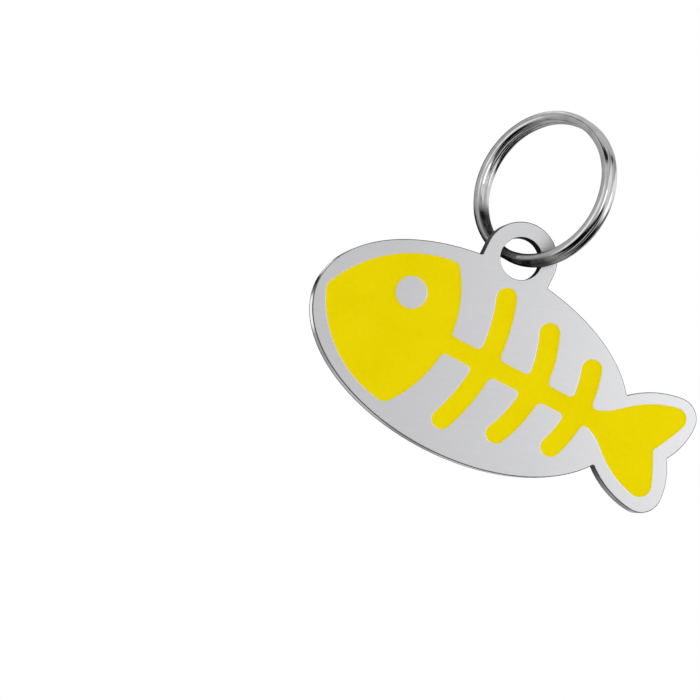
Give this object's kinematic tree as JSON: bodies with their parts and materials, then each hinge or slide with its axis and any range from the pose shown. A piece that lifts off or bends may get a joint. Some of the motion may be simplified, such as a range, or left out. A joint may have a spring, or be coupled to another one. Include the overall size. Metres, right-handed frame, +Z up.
{
  "type": "pet id tag",
  "caption": "Flat fish-shaped steel identity tag with a coloured fishbone inlay and engraved digits on its back, hanging from a split ring.",
  "frame": {"origin": "inside of the split ring at its top, where a collar's ring carries the tag", "axes": "+Z up along the hanging line, -Y out of the fishbone face, +X towards the fish's tail"},
  "size_m": [0.0379, 0.012, 0.0342],
  "materials": {
    "plate_steel": "fine satin faces, polished edge",
    "enamel_yellow": "smooth coloured filling",
    "infill_black": "matt black filling in engraved lines",
    "ring_steel": "bright plated spring wire"
  },
  "bodies": {
    "ring": {"split_ring": "ring_steel"},
    "tag": {"tag_plate": "plate_steel", "fishbone_enamel": "enamel_yellow", "engraved_digits": "infill_black"}
  },
  "joints": [
    {"name": "tag_swing", "type": "hinge", "parent": "ring", "child": "tag", "pos_m": [0, 0, -0.0135], "axis": [0, 1, 0], "range_deg": [-105, 90]}
  ]
}
